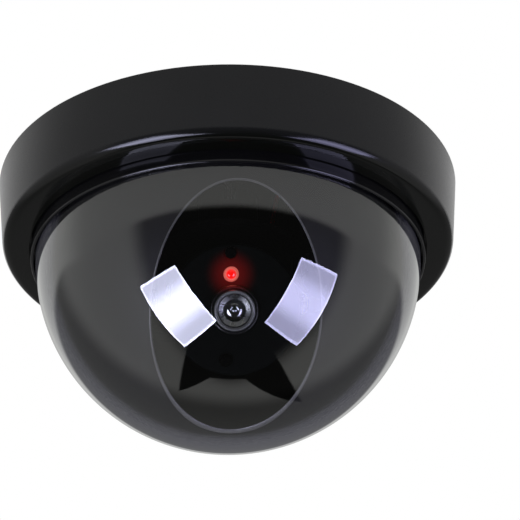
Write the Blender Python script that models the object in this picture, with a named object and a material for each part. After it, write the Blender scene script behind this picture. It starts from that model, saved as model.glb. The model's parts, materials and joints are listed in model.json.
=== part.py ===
"""Battery-powered deterrent dome camera for a ceiling: a round housing that twists onto a mounting plate,
a clear dome over a panning inner liner, and a tilting camera head with a lens and a flashing LED.

The origin is the centre of the plate's ceiling face, +Z goes up into the ceiling, and the lens looks
towards -Y and down. Dimensions are in millimetres and become metres as each piece is finished.
"""

import math

import bmesh
import bpy
from mathutils import Matrix, Vector

MM = 0.001
GAP = 0.3  # between pieces that rest on each other

# Housing ring and the bezel that carries the dome.
RING_RADIUS = 61.3  # at the ceiling
RING_LOW_RADIUS = 59.6  # the wall narrows to this
RING_TOP = -0.2
RING_BOTTOM = -19.7
RING_INNER = 57.8
EDGE_RADIUS = 2.6
LIP_RADIUS = 52.5
LIP_TOP = RING_BOTTOM + 1.9
BEZEL_FLANGE_RADIUS = 57.4
BEZEL_TOP = -13.9
COLLAR_RADIUS = LIP_RADIUS - GAP
COLLAR_BORE = 51.4
COLLAR_BOTTOM = -22.9

# Clear dome.
DOME_RADIUS = 50.9
DOME_WALL = 1.5
DOME_CENTRE_Z = -21.6
DOME_FLANGE_RADIUS = 53.0
DOME_FLANGE_TOP = -13.8
DOME_FLANGE_THICKNESS = 1.5
DOME_SEAT = -16.6
GASKET_THICKNESS = 0.7
CLAMP_BORE = 49.6
CLAMP_RADIUS = 57.2
CLAMP_THICKNESS = 2.1
CLAMP_BOTTOM = BEZEL_TOP + GAP
CLAMP_TOP = CLAMP_BOTTOM + CLAMP_THICKNESS
CLAMP_SCREW_CIRCLE = 55.2
SCREW_ANGLES = (90.0, 210.0, 330.0)
HOOK_ANGLES = (60.0, 180.0, 300.0)
HOOK_RADIUS = 56.2

# Bayonet between the housing ring and the mounting plate.
LUG_ANGLES = (30.0, 150.0, 270.0)
LUG_HALF_ANGLE = 7.0
LUG_RADIUS = 56.2
LUG_TOP = -2.8
LUG_BOTTOM = -4.8
TWIST_ANGLE = 15.0

# Mounting plate.
PLATE_RADIUS = 57.4
PLATE_THICKNESS = 2.5
LEDGE_RADIUS = 53.4
RISER_RADIUS = 55.4
LEDGE_TOP = LUG_BOTTOM - GAP
LEDGE_BOTTOM = LEDGE_TOP - 1.5
SLOT_CIRCLE = 50.8
SLOT_HALF_WIDTH = 2.2
SLOT_LENGTH = 10.0
HUB_RADIUS = 8.0
HUB_SHOULDER = -19.3
NECK_RADIUS = 6.0
NECK_BOTTOM = -24.2
GROOVE_RADIUS = 5.3
HUB_BORE = 3.5
LEAD_Z = -5.0

# Pan stage.
PAN_TOP = -20.4
PAN_THICKNESS = 2.0
PAN_BOTTOM = PAN_TOP - PAN_THICKNESS
PAN_DISC_RADIUS = 21.0
PAN_BORE = 6.3
PAN_RIM = (42.8, 46.7)
SPOKE_WIDTH = 8.0
ARM_INNER = 16.6
ARM_THICKNESS = 2.2
ARM_OUTER = ARM_INNER + ARM_THICKNESS
ARM_HALF_WIDTH = 5.0

# Inner liner.
LINER_RADIUS = 48.3
LINER_WALL = 1.2
LINER_TOP = -19.4
LINER_TAB_TOP = -18.8
LINER_TAB_RADIUS = 42.8
LINER_SCREW_CIRCLE = 44.8
OPENING_HALF_WIDTH = 21.1
OPENING_HALF_HEIGHT = 32.9

# Tilting head, in its own frame: +X right, +Y up, +Z along the lens axis, origin on the tilt axis.
PIVOT_Z = -33.5
LENS_DOWN_ANGLE = 33.0
HEAD_REAR_RADIUS = 8.6
HEAD_FRONT_RADIUS = 16.6
HEAD_FRONT = 25.0
HEAD_WALL = 1.4
BOSS_RADIUS = 4.4
FACE_BOSS_RADIUS = 1.9
BOSS_FACE = 15.4
BOSS_INNER = 5.5
TILT_HOLE = 1.65
FACE_BACK = HEAD_FRONT + GAP
FACE_FRONT = 27.0
HOLDER_RADIUS = 6.0
HOLDER_FRONT = 28.6
BARREL_RADIUS = 5.2
BARREL_RIM_RADIUS = 5.0
BARREL_FRONT = 30.0
LED_AT = (-0.95, 8.9)
LED_RADIUS = 2.0
LED_CENTRE = 25.1
BOARD_BACK = 18.2
BOARD_THICKNESS = 1.5
BOARD_FRONT = BOARD_BACK + BOARD_THICKNESS
POST_X = 8.4
FACE_SCREWS = {"upper": (-1.2, 14.3), "lower": (-1.7, -12.5)}

# Batteries, AA size.
CELL_RADIUS = 7.25
CELL_BODY = 49.5
CELL_NUB_RADIUS = 2.75
CELL_X = 29.0
HOLDER_FLOOR = -3.6
CELL_Z = HOLDER_FLOOR - GAP - CELL_RADIUS
TRAY_HALF_LENGTH = 28.0
TRAY_HALF_WIDTH = 7.6
TRAY_WALL = 1.0

# Slide switch on the plate.
SWITCH_Y = 51.0
SWITCH_BODY = (10.0, 4.8, 3.8)
SWITCH_KNOB = (3.0, 2.2, 2.8)
SWITCH_TRAVEL = 2.0

# Lays an outline drawn in XY into the YZ plane, so that it is extruded along X.
YZ_TO_SIDE = Matrix(((0, 0, 1, 0), (1, 0, 0, 0), (0, 1, 0, 0), (0, 0, 0, 1)))

ROUND_BIG = 48
ROUND_DOME = 40
ROUND_LENS = 24
ROUND_SMALL = 16
ROUND_TINY = 8
DOME_STEPS = 8

FINISHES = {
    "housing_black": ((0.014, 0.014, 0.014), 0.42, 0.0),
    "gloss_black": ((0.006, 0.006, 0.006), 0.12, 0.0),
    "clear_dome": ((0.60, 0.60, 0.63), 0.03, 0.0),
    "liner_grey": ((0.040, 0.040, 0.040), 0.45, 0.0),
    "inner_black": ((0.010, 0.010, 0.010), 0.50, 0.0),
    "gasket_rubber": ((0.020, 0.020, 0.020), 0.80, 0.0),
    "steel": ((0.62, 0.62, 0.62), 0.28, 1.0),
    "black_steel": ((0.03, 0.03, 0.03), 0.35, 1.0),
    "nickel": ((0.70, 0.68, 0.62), 0.25, 1.0),
    "nylon": ((0.75, 0.74, 0.70), 0.45, 0.0),
    "lens_black": ((0.008, 0.008, 0.009), 0.22, 0.0),
    "lens_glass": ((0.35, 0.37, 0.42), 0.02, 0.0),
    "led_red": ((0.90, 0.02, 0.01), 0.10, 0.0),
    "board_green": ((0.01, 0.10, 0.04), 0.40, 0.0),
    "chip_black": ((0.012, 0.012, 0.012), 0.50, 0.0),
    "resistor_tan": ((0.55, 0.40, 0.24), 0.45, 0.0),
    "cell_sleeve": ((0.05, 0.05, 0.055), 0.35, 0.0),
    "lead_red": ((0.50, 0.01, 0.01), 0.50, 0.0),
    "lead_black": ((0.012, 0.012, 0.012), 0.50, 0.0),
    "switch_white": ((0.80, 0.80, 0.78), 0.40, 0.0),
}


# ---------------------------------------------------------------- shapes, in millimetres


def object_of(bm, name="shape"):
    """A scene object from a bmesh, with its faces turned outwards."""
    bmesh.ops.recalc_face_normals(bm, faces=bm.faces)
    mesh = bpy.data.meshes.new(name)
    bm.to_mesh(mesh)
    bm.free()
    obj = bpy.data.objects.new(name, mesh)
    bpy.context.scene.collection.objects.link(obj)
    return obj


def moved(obj, matrix):
    obj.data.transform(matrix)
    return obj


def arc(centre, radius, start, end, steps):
    """Points (r, z) along an arc, both ends included, with its angles in degrees."""
    angles = [math.radians(start + (end - start) * i / steps) for i in range(steps + 1)]
    return [(centre[0] + radius * math.cos(a), centre[1] + radius * math.sin(a)) for a in angles]


def turned(profile, segments=ROUND_BIG, at=(0.0, 0.0)):
    """A solid of revolution about Z from (radius, z) points. A profile that ends on the axis stays open there."""
    bm = bmesh.new()
    verts = [bm.verts.new((max(r, 0.0), 0.0, z)) for r, z in profile]
    on_axis = profile[0][0] < 1e-6 and profile[-1][0] < 1e-6
    pairs = list(zip(verts, verts[1:]))
    if not on_axis:
        pairs.append((verts[-1], verts[0]))
    edges = [bm.edges.new(pair) for pair in pairs]
    bmesh.ops.spin(bm, geom=edges, cent=(0, 0, 0), axis=(0, 0, 1), angle=math.tau,
                   steps=segments, use_merge=True, use_duplicate=False)
    bmesh.ops.remove_doubles(bm, verts=bm.verts, dist=1e-4)
    return moved(object_of(bm), Matrix.Translation((at[0], at[1], 0.0)))


def tube(inner, outer, low, high, segments=ROUND_BIG, at=(0.0, 0.0)):
    return turned([(outer, low), (outer, high), (inner, high), (inner, low)], segments, at)


def rod(radius, low, high, segments=ROUND_SMALL, at=(0.0, 0.0)):
    """A round bar. Its corners are turned off the axes, so that they miss those of what it joins or cuts."""
    bm = bmesh.new()
    bmesh.ops.create_cone(bm, cap_ends=True, segments=segments, radius1=radius, radius2=radius,
                          depth=high - low)
    off_axis = Matrix.Rotation(0.7 * math.pi / segments, 4, "Z")
    return moved(object_of(bm), Matrix.Translation((at[0], at[1], (low + high) / 2)) @ off_axis)


def prism(outline, low, high):
    """A flat outline of (x, y) points, extruded from low to high along Z."""
    bm = bmesh.new()
    face = bm.faces.new([bm.verts.new((x, y, low)) for x, y in outline])
    raised = bmesh.ops.extrude_face_region(bm, geom=[face])
    lifted = [v for v in raised["geom"] if isinstance(v, bmesh.types.BMVert)]
    bmesh.ops.translate(bm, verts=lifted, vec=(0.0, 0.0, high - low))
    return object_of(bm)


def block(x, y, z):
    """A box between three pairs of limits."""
    return prism([(x[0], y[0]), (x[1], y[0]), (x[1], y[1]), (x[0], y[1])], z[0], z[1])


def sector(inner, outer, middle, half_angle, low, high, steps=4):
    """A slice of a flat ring, from middle - half_angle to middle + half_angle degrees."""
    angles = [math.radians(middle + half_angle * (2 * i / steps - 1)) for i in range(steps + 1)]
    outside = [(outer * math.cos(a), outer * math.sin(a)) for a in angles]
    inside = [(inner * math.cos(a), inner * math.sin(a)) for a in reversed(angles)]
    return prism(outside + inside, low, high)


def swept(profile, middle, half_angle, steps=4):
    """A closed outline of (radius, z) points, swept about Z to either side of an angle in degrees."""
    bm = bmesh.new()
    sections = []
    for i in range(steps + 1):
        a = math.radians(middle + half_angle * (2 * i / steps - 1))
        sections.append([bm.verts.new((r * math.cos(a), r * math.sin(a), z)) for r, z in profile])
    for near, far in zip(sections, sections[1:]):
        for i in range(len(profile)):
            bm.faces.new((near[i - 1], near[i], far[i], far[i - 1]))
    bm.faces.new(sections[0])
    bm.faces.new(sections[-1])
    return object_of(bm)


def ellipse(half_width, half_height, segments):
    angles = [math.tau * i / segments for i in range(segments)]
    return [(half_width * math.cos(a), half_height * math.sin(a)) for a in angles]


def boolean(target, tools, operation):
    """Joins each tool to the target or cuts it out, and removes the tool."""
    for tool in tools:
        modifier = target.modifiers.new(operation.lower(), "BOOLEAN")
        modifier.operation = operation
        modifier.solver = "EXACT"
        modifier.object = tool
        graph = bpy.context.evaluated_depsgraph_get()
        mesh = bpy.data.meshes.new_from_object(target.evaluated_get(graph))
        target.modifiers.remove(modifier)
        target.data = mesh
        bpy.data.objects.remove(tool)
    return target


def joined(target, *tools):
    return boolean(target, tools, "UNION")


def cut(target, *tools):
    return boolean(target, tools, "DIFFERENCE")


def on_circle(radius, angle):
    return radius * math.cos(math.radians(angle)), radius * math.sin(math.radians(angle))


def along_x(obj):
    """Turns a solid made about Z so that it lies about X."""
    return moved(obj, Matrix.Rotation(math.radians(90.0), 4, "Y"))


def along_y(obj):
    """Turns a solid made about Z so that it lies about Y."""
    return moved(obj, Matrix.Rotation(math.radians(-90.0), 4, "X"))


def screw(head_radius, head_height, shank_radius, length):
    """A pan-head screw about Z: the head's underside at 0, its shank down to -length."""
    return turned([(0.0, head_height), (head_radius * 0.6, head_height), (head_radius, head_height * 0.4),
                   (head_radius, 0.0), (shank_radius, 0.0), (shank_radius, 0.4 - length),
                   (shank_radius * 0.5, -length), (0.0, -length)], ROUND_TINY)


# ---------------------------------------------------------------- finished pieces, in metres


def material(name):
    made = bpy.data.materials.get(name)
    if made:
        return made
    colour, roughness, metallic = FINISHES[name]
    made = bpy.data.materials.new(name)
    made.use_nodes = True
    shader = made.node_tree.nodes["Principled BSDF"]
    shader.inputs["Base Color"].default_value = (*colour, 1.0)
    shader.inputs["Roughness"].default_value = roughness
    shader.inputs["Metallic"].default_value = metallic
    return made


def axis_empty(name, location=(0.0, 0.0, 0.0), tilt=0.0):
    empty = bpy.data.objects.new(name, None)
    empty.location = Vector(location) * MM
    empty.rotation_euler = (math.radians(tilt), 0.0, 0.0)
    bpy.context.scene.collection.objects.link(empty)
    return empty


def piece(name, shape, finish, parent=None):
    """Names a shape, scales it to metres, and gives it its material and its parent axis."""
    shape.data.transform(Matrix.Scale(MM, 4))
    shape.name = name
    shape.data.name = name
    shape.data.materials.clear()
    shape.data.materials.append(material(finish))
    shape.data.shade_smooth()
    shape.data.set_sharp_from_angle(angle=math.radians(35.0))
    shape.parent = parent
    return shape


def wire(name, points, radius, finish, parent=None, sides_level=1):
    """A round wire along the given points, as a curve with a bevel and filled caps."""
    curve = bpy.data.curves.new(name, "CURVE")
    curve.dimensions = "3D"
    curve.bevel_depth = radius * MM
    curve.bevel_resolution = sides_level
    curve.use_fill_caps = True
    spline = curve.splines.new("POLY")
    spline.points.add(len(points) - 1)
    for point, (x, y, z) in zip(spline.points, points):
        point.co = (x * MM, y * MM, z * MM, 1.0)
    curve.materials.append(material(finish))
    obj = bpy.data.objects.new(name, curve)
    bpy.context.scene.collection.objects.link(obj)
    obj.parent = parent
    return obj


def smooth_route(corners, steps=4):
    """Points on one smooth curve through the route's corners."""
    ends = [corners[0], *corners, corners[-1]]
    route = []
    for p0, p1, p2, p3 in zip(ends, ends[1:], ends[2:], ends[3:]):
        a, b, c, d = (Vector(p) for p in (p0, p1, p2, p3))
        for i in range(steps):
            t = i / steps
            route.append(0.5 * (2 * b + (c - a) * t + (2 * a - 5 * b + 4 * c - d) * t * t
                                + (3 * b - 3 * c + d - a) * t ** 3))
    route.append(Vector(corners[-1]))
    return route


# ---------------------------------------------------------------- base, fixed to the ceiling


def mounting_plate():
    plate = turned([(0.0, 0.0), (PLATE_RADIUS, 0.0), (PLATE_RADIUS, -PLATE_THICKNESS),
                    (HUB_RADIUS, -PLATE_THICKNESS), (HUB_RADIUS, HUB_SHOULDER), (NECK_RADIUS, HUB_SHOULDER),
                    (NECK_RADIUS, PAN_BOTTOM - GAP * 0.8), (GROOVE_RADIUS, PAN_BOTTOM - GAP * 0.8),
                    (GROOVE_RADIUS, NECK_BOTTOM + 0.4), (NECK_RADIUS, NECK_BOTTOM + 0.4),
                    (NECK_RADIUS, NECK_BOTTOM), (HUB_BORE, NECK_BOTTOM), (HUB_BORE, -PLATE_THICKNESS),
                    (0.0, -PLATE_THICKNESS)])
    overlap = 0.5
    for angle in LUG_ANGLES:
        root = overlap - PLATE_THICKNESS
        ledge = [(LEDGE_RADIUS, root), (RISER_RADIUS, root), (RISER_RADIUS, LEDGE_TOP),
                 (PLATE_RADIUS - 0.1, LEDGE_TOP), (PLATE_RADIUS - 0.1, LEDGE_BOTTOM), (LEDGE_RADIUS, LEDGE_BOTTOM)]
        stop = [(RISER_RADIUS - 1.0, root), (PLATE_RADIUS - 0.2, root), (PLATE_RADIUS - 0.2, LEDGE_BOTTOM + 0.3),
                (RISER_RADIUS - 1.0, LEDGE_BOTTOM + 0.3)]
        joined(plate, swept(ledge, angle, LUG_HALF_ANGLE), swept(stop, angle - LUG_HALF_ANGLE - 1.4, 0.6, 1))
        cut(plate, sector(LUG_RADIUS - GAP, PLATE_RADIUS + 2.0, angle + TWIST_ANGLE,
                          LUG_HALF_ANGLE + 0.7, -PLATE_THICKNESS - 1.0, 1.0))
    for side in (-1, 1):
        straight = (SLOT_LENGTH - 2 * SLOT_HALF_WIDTH) / 2
        ends = [(SLOT_HALF_WIDTH * math.cos(math.radians(a)),
                 SLOT_HALF_WIDTH * math.sin(math.radians(a)) + (straight if a < 180 else -straight))
                for a in (0, 30, 60, 90, 120, 150, 179.9, 180.1, 210, 240, 270, 300, 330, 359.9)]
        slot = prism(ends, -PLATE_THICKNESS - 1.0, 1.0)
        cut(plate, moved(slot, Matrix.Translation((side * SLOT_CIRCLE, 0.0, 0.0))))
        hole_x = side * (CELL_X - TRAY_HALF_WIDTH - TRAY_WALL - 2.4)
        cut(plate, rod(1.1, -PLATE_THICKNESS - 1.0, -0.6, ROUND_TINY, (hole_x, 0.0)))
        cut(plate, block((-1.6, 1.6), sorted((side * 2.0, side * (HUB_RADIUS + 1.0))),
                         (LEAD_Z - 1.6, LEAD_Z + 1.6)))
    return piece("mounting_plate", plate, "inner_black")


def battery_holder(side, name):
    """An open tray for one cell, with an ear for its screw on the hub side."""
    wide = TRAY_HALF_WIDTH + TRAY_WALL
    long = TRAY_HALF_LENGTH + TRAY_WALL
    top = -PLATE_THICKNESS - GAP
    tray = block((-wide, wide), (-long, long), (-15.0, top))
    cut(tray, block((-TRAY_HALF_WIDTH, TRAY_HALF_WIDTH), (-TRAY_HALF_LENGTH, TRAY_HALF_LENGTH),
                    (-16.0, HOLDER_FLOOR)))
    for wall in (-1, 1):
        cut(tray, block(sorted((wall * 6.0, wall * (wide + 1.0))), (-23.0, 23.0), (-16.0, CELL_Z + 1.5)))
    joined(tray, block((wide - 0.5, wide + 4.6), (-3.2, 3.2), (-4.0, top)))
    cut(tray, rod(1.1, -6.0, 0.0, ROUND_TINY, (wide + 2.4, 0.0)))
    if side > 0:
        moved(tray, Matrix.Rotation(math.pi, 4, "Z"))
    moved(tray, Matrix.Translation((side * CELL_X, 0.0, 0.0)))
    return piece(f"battery_holder_{name}", tray, "inner_black")


def battery(side, name):
    """One cell. The left one has its raised end towards -Y, and the right one towards +Y."""
    body_start = 1.0
    cell = turned([(0.0, 0.0), (CELL_NUB_RADIUS, 0.0), (CELL_NUB_RADIUS, body_start),
                   (CELL_RADIUS - 0.6, body_start), (CELL_RADIUS, body_start + 0.5),
                   (CELL_RADIUS, body_start + CELL_BODY - 0.4), (CELL_RADIUS - 0.5, body_start + CELL_BODY),
                   (0.0, body_start + CELL_BODY)], ROUND_SMALL)
    nub_y = -TRAY_HALF_LENGTH + 1.0
    moved(along_y(cell), Matrix.Translation((0.0, nub_y, 0.0)))
    if side > 0:
        moved(cell, Matrix.Rotation(math.pi, 4, "Z"))
    moved(cell, Matrix.Translation((side * CELL_X, 0.0, CELL_Z)))
    return piece(f"battery_{name}", cell, "cell_sleeve")


def battery_contacts(side, name):
    """The spring and its tab at the cell's flat end, and the plate at its raised end."""
    flat_end = -side * 1.0
    for part, end in (("contact_tab", flat_end), ("contact_plate", -flat_end)):
        y = sorted((end * (TRAY_HALF_LENGTH - GAP), end * (TRAY_HALF_LENGTH - GAP - 0.4)))
        shape = block((side * CELL_X - 4.6, side * CELL_X + 4.6), y, (CELL_Z - 3.6, CELL_Z + 4.6))
        piece(f"{part}_{name}", shape, "nickel")
    turns, wire_radius, steps = 2.5, 0.35, 12
    near_cell = -TRAY_HALF_LENGTH + 2.0 + CELL_BODY + GAP + wire_radius
    near_tab = TRAY_HALF_LENGTH - 2 * GAP - 0.4 - wire_radius
    count = int(turns * steps)
    coil = []
    for i in range(count + 1):
        part_way = i / count
        angle = math.tau * turns * part_way
        radius = 2.2 + 1.3 * part_way
        y = flat_end * (near_cell + (near_tab - near_cell) * part_way)
        coil.append((side * CELL_X + radius * math.cos(angle), y, CELL_Z + radius * math.sin(angle)))
    wire(f"contact_spring_{name}", coil, wire_radius, "nickel")


def holder_screw(side, name):
    x = side * (CELL_X - TRAY_HALF_WIDTH - TRAY_WALL - 2.4)
    shape = screw(1.6, 1.0, 0.8, 3.0)
    moved(shape, Matrix.Translation((x, 0.0, -4.3)) @ Matrix.Rotation(math.pi, 4, "X"))
    return piece(f"holder_screw_{name}", shape, "steel")


def switch_body():
    width, depth, height = SWITCH_BODY
    top = -PLATE_THICKNESS - GAP
    body = block((-width / 2, width / 2), (SWITCH_Y - depth / 2, SWITCH_Y + depth / 2), (top - height, top))
    slot_x = SWITCH_KNOB[0] / 2 + SWITCH_TRAVEL / 2 + GAP
    slot_y = SWITCH_KNOB[1] / 2 + GAP
    cut(body, block((-slot_x, slot_x), (SWITCH_Y - slot_y, SWITCH_Y + slot_y),
                    (top - height - 1.0, top - height + 1.6)))
    return piece("switch_body", body, "steel")


def switch_slider(parent):
    """The knob, drawn at the ON end of its travel."""
    width, depth, height = SWITCH_KNOB
    bottom_of_body = -PLATE_THICKNESS - GAP - SWITCH_BODY[2]
    knob = block((-width / 2, width / 2), (-depth / 2, depth / 2), (-height / 2, height / 2))
    moved(knob, Matrix.Translation((0.0, 0.0, bottom_of_body + 1.3 - height / 2)))
    return piece("switch_slider", knob, "switch_white", parent)


def base_leads():
    end_y = TRAY_HALF_LENGTH + TRAY_WALL + GAP + 0.6
    hub_end = 1.2 + GAP
    wire("lead_battery_link", smooth_route([(-CELL_X, end_y, -8.0), (-CELL_X + 5, end_y + 1.5, -8.0),
                                            (0.0, end_y + 3.0, -8.6), (CELL_X - 5, end_y + 1.5, -8.0),
                                            (CELL_X, end_y, -8.0)]), 0.6, "lead_black")
    wire("lead_battery_minus", smooth_route([(-CELL_X, -end_y, -8.0), (-CELL_X + 6, -end_y - 1.5, -7.0),
                                             (-10.0, -25.0, -5.2), (-1.5, -14.0, LEAD_Z),
                                             (0.0, -9.0, LEAD_Z), (0.0, -hub_end, LEAD_Z)]),
         0.6, "lead_black")
    wire("lead_battery_plus", smooth_route([(CELL_X, -end_y, -8.0), (CELL_X - 6, -end_y - 1.5, -7.0),
                                            (14.0, -24.0, -5.2), (13.0, -8.0, -4.2), (12.5, 8.0, -4.2),
                                            (12.0, 26.0, -4.6), (8.5, 40.0, -4.6),
                                            (3.0, SWITCH_Y - 2.4 - GAP - 0.6, -4.6)]), 0.6, "lead_red")
    wire("lead_switch", smooth_route([(-2.5, SWITCH_Y - 2.4 - GAP, -4.6), (-2.4, 44.0, -4.6),
                                      (-1.0, 30.0, -4.8), (0.0, 16.0, LEAD_Z), (0.0, hub_end, LEAD_Z)]),
         0.6, "lead_red")
    wire("lead_hub", [(0.0, 0.0, -z) for z in (-LEAD_Z - 1.0, 11.0, 17.0, -NECK_BOTTOM + 0.6)], 1.2, "lead_black")


def pan_washer():
    washer = tube(PAN_BORE, HUB_RADIUS, HUB_SHOULDER - GAP - 0.5, HUB_SHOULDER - GAP, ROUND_SMALL)
    return piece("pan_washer", washer, "nylon")


def pan_retaining_ring():
    """An open ring that snaps into the groove of the hub's neck."""
    high = PAN_BOTTOM - GAP - 0.1
    ring = tube(GROOVE_RADIUS + 0.25, HUB_RADIUS - 0.5, high - 0.8, high, ROUND_SMALL)
    cut(ring, block((-3.4, 3.4), (0.0, 10.0), (high - 2.0, high + 1.0)))
    return piece("pan_retaining_ring", ring, "steel")


# ---------------------------------------------------------------- cover, twisted off to reach the inside


def housing_ring(parent):
    ring = turned([(RING_INNER, RING_TOP), (RING_RADIUS - 0.3, RING_TOP), (RING_RADIUS, RING_TOP - 0.3),
                   *arc((RING_LOW_RADIUS - EDGE_RADIUS, RING_BOTTOM + EDGE_RADIUS), EDGE_RADIUS, 0.0, -90.0, 4),
                   (LIP_RADIUS, RING_BOTTOM), (LIP_RADIUS, LIP_TOP), (RING_INNER, LIP_TOP)])
    for angle in LUG_ANGLES:
        joined(ring, sector(LUG_RADIUS, RING_INNER + 0.8, angle, LUG_HALF_ANGLE, LUG_BOTTOM, LUG_TOP))
    for angle in HOOK_ANGLES:
        joined(ring, sector(HOOK_RADIUS, RING_INNER + 0.8, angle, 3.0, CLAMP_TOP + GAP,
                            CLAMP_TOP + GAP + 1.5, steps=2))
    return piece("housing_ring", ring, "housing_black", parent)


def lug_notches(target, low, high):
    """Gaps in a flange's edge, which let it pass the ring's lugs when it is dropped in."""
    for angle in LUG_ANGLES:
        cut(target, sector(LUG_RADIUS - 0.2, RING_RADIUS, angle, LUG_HALF_ANGLE + 1.5, low, high))


def dome_bezel(parent):
    flange_bottom = LIP_TOP + GAP
    bezel = turned([(BEZEL_FLANGE_RADIUS, BEZEL_TOP), (BEZEL_FLANGE_RADIUS, flange_bottom),
                    (COLLAR_RADIUS, flange_bottom), (COLLAR_RADIUS, COLLAR_BOTTOM + 0.5),
                    (COLLAR_RADIUS - 0.4, COLLAR_BOTTOM), (COLLAR_BORE, COLLAR_BOTTOM),
                    (COLLAR_BORE, DOME_SEAT), (DOME_FLANGE_RADIUS + GAP, DOME_SEAT),
                    (DOME_FLANGE_RADIUS + GAP, BEZEL_TOP)])
    lug_notches(bezel, flange_bottom - 0.1, BEZEL_TOP + 1.0)
    for angle in SCREW_ANGLES:
        cut(bezel, rod(1.0, BEZEL_TOP - 2.6, BEZEL_TOP + 1.0, ROUND_TINY,
                       on_circle(CLAMP_SCREW_CIRCLE, angle)))
    return piece("dome_bezel", bezel, "gloss_black", parent)


def dome_window(parent):
    inner = DOME_RADIUS - DOME_WALL
    centre = (0.0, DOME_CENTRE_Z)
    flange_low = DOME_FLANGE_TOP - DOME_FLANGE_THICKNESS
    dome = turned([*arc(centre, DOME_RADIUS, -90.0, 0.0, DOME_STEPS), (DOME_RADIUS, flange_low),
                   (DOME_FLANGE_RADIUS, flange_low), (DOME_FLANGE_RADIUS, DOME_FLANGE_TOP),
                   (inner, DOME_FLANGE_TOP), *arc(centre, inner, 0.0, -90.0, DOME_STEPS)], ROUND_DOME)
    return piece("dome_window", dome, "clear_dome", parent)


def dome_gasket(parent):
    low = DOME_SEAT + GAP
    gasket = tube(COLLAR_BORE + 0.1, DOME_FLANGE_RADIUS, low, low + GASKET_THICKNESS, ROUND_DOME)
    return piece("dome_gasket", gasket, "gasket_rubber", parent)


def dome_clamp_ring(parent):
    ring = tube(CLAMP_BORE, CLAMP_RADIUS, CLAMP_BOTTOM, CLAMP_TOP)
    lug_notches(ring, CLAMP_BOTTOM - 1.0, CLAMP_TOP + 1.0)
    for angle in SCREW_ANGLES:
        cut(ring, rod(1.1, CLAMP_BOTTOM - 1.0, CLAMP_TOP + 1.0, ROUND_TINY,
                      on_circle(CLAMP_SCREW_CIRCLE, angle)))
    return piece("dome_clamp_ring", ring, "inner_black", parent)


def clamp_screw(number, angle, parent):
    x, y = on_circle(CLAMP_SCREW_CIRCLE, angle)
    shape = moved(screw(1.5, 1.0, 0.7, 4.3), Matrix.Translation((x, y, CLAMP_TOP + GAP)))
    return piece(f"clamp_screw_{number}", shape, "steel", parent)


# ---------------------------------------------------------------- pan stage, turned by hand on the hub


def pan_yoke(parent):
    stage = tube(PAN_BORE, PAN_DISC_RADIUS, PAN_BOTTOM, PAN_TOP, ROUND_DOME)
    joined(stage, tube(PAN_RIM[0], PAN_RIM[1], PAN_BOTTOM + 0.1, PAN_TOP - 0.1))
    for angle in SCREW_ANGLES:
        spoke = block((PAN_DISC_RADIUS - 2.0, PAN_RIM[0] + 1.0), (-SPOKE_WIDTH / 2, SPOKE_WIDTH / 2),
                      (PAN_BOTTOM + 0.2, PAN_TOP - 0.2))
        joined(stage, moved(spoke, Matrix.Rotation(math.radians(angle), 4, "Z")))
        cut(stage, rod(1.1, PAN_BOTTOM - 1.0, PAN_TOP + 1.0, ROUND_TINY,
                       on_circle(LINER_SCREW_CIRCLE, angle)))
    for side in (-1, 1):
        x = sorted((side * ARM_INNER, side * ARM_OUTER))
        arm_top = PAN_BOTTOM + 1.0 - PIVOT_Z
        outline = [(-arm_top, -ARM_HALF_WIDTH), *arc((0.0, 0.0), ARM_HALF_WIDTH, -90.0, 90.0, 8),
                   (-arm_top, ARM_HALF_WIDTH)]
        arm = prism(outline, *x)
        cut(arm, rod(TILT_HOLE + 0.05, x[0] - 1.0, x[1] + 1.0))
        joined(stage, moved(along_x(arm), Matrix.Translation((0.0, 0.0, PIVOT_Z))))
    return piece("pan_yoke", stage, "inner_black", parent)


def lens_frame():
    """From the head's own frame to the base's, in millimetres."""
    return (Matrix.Translation((0.0, 0.0, PIVOT_Z))
            @ Matrix.Rotation(math.radians(90.0 + LENS_DOWN_ANGLE), 4, "X"))


def inner_liner(parent):
    """A bowl behind the dome, with an oval opening that the lens sweeps along."""
    centre = (0.0, DOME_CENTRE_Z)
    inner = LINER_RADIUS - LINER_WALL
    bowl = turned([*arc(centre, LINER_RADIUS, -90.0, 0.0, DOME_STEPS), (LINER_RADIUS, LINER_TOP),
                   (inner, LINER_TOP), *arc(centre, inner, 0.0, -90.0, DOME_STEPS)], ROUND_DOME)
    tab_bottom = PAN_TOP + GAP
    for angle in SCREW_ANGLES:
        joined(bowl, sector(LINER_TAB_RADIUS, inner + 0.6, angle, 5.0, tab_bottom, LINER_TAB_TOP))
        cut(bowl, rod(1.1, tab_bottom - 1.0, LINER_TAB_TOP + 1.0, ROUND_TINY,
                      on_circle(LINER_SCREW_CIRCLE, angle)))
    opening = prism(ellipse(OPENING_HALF_WIDTH, OPENING_HALF_HEIGHT, ROUND_DOME), 5.0, 60.0)
    cut(bowl, moved(opening, lens_frame()))
    return piece("inner_liner", bowl, "liner_grey", parent)


def liner_screw(number, angle, parent):
    x, y = on_circle(LINER_SCREW_CIRCLE, angle)
    shape = moved(screw(1.5, 0.8, 0.7, 3.2), Matrix.Translation((x, y, LINER_TAB_TOP + GAP)))
    return piece(f"liner_screw_{number}", shape, "steel", parent)


def tilt_washer(side, name, parent):
    x = sorted((side * (BOSS_FACE + GAP), side * (ARM_INNER - GAP)))
    washer = along_x(tube(TILT_HOLE, BOSS_RADIUS - 0.4, x[0], x[1], ROUND_SMALL))
    return piece(f"tilt_washer_{name}", moved(washer, Matrix.Translation((0.0, 0.0, PIVOT_Z))), "nylon", parent)


def lead_neck(parent):
    low, high = PIVOT_Z + 0.2, NECK_BOTTOM - 0.9
    wire("lead_neck", [(0.0, 0.0, high), (0.0, 0.0, (low + high) / 2), (0.0, 0.0, low)], 1.1,
         "lead_black", parent)


# ---------------------------------------------------------------- tilting head, in its own frame


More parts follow.
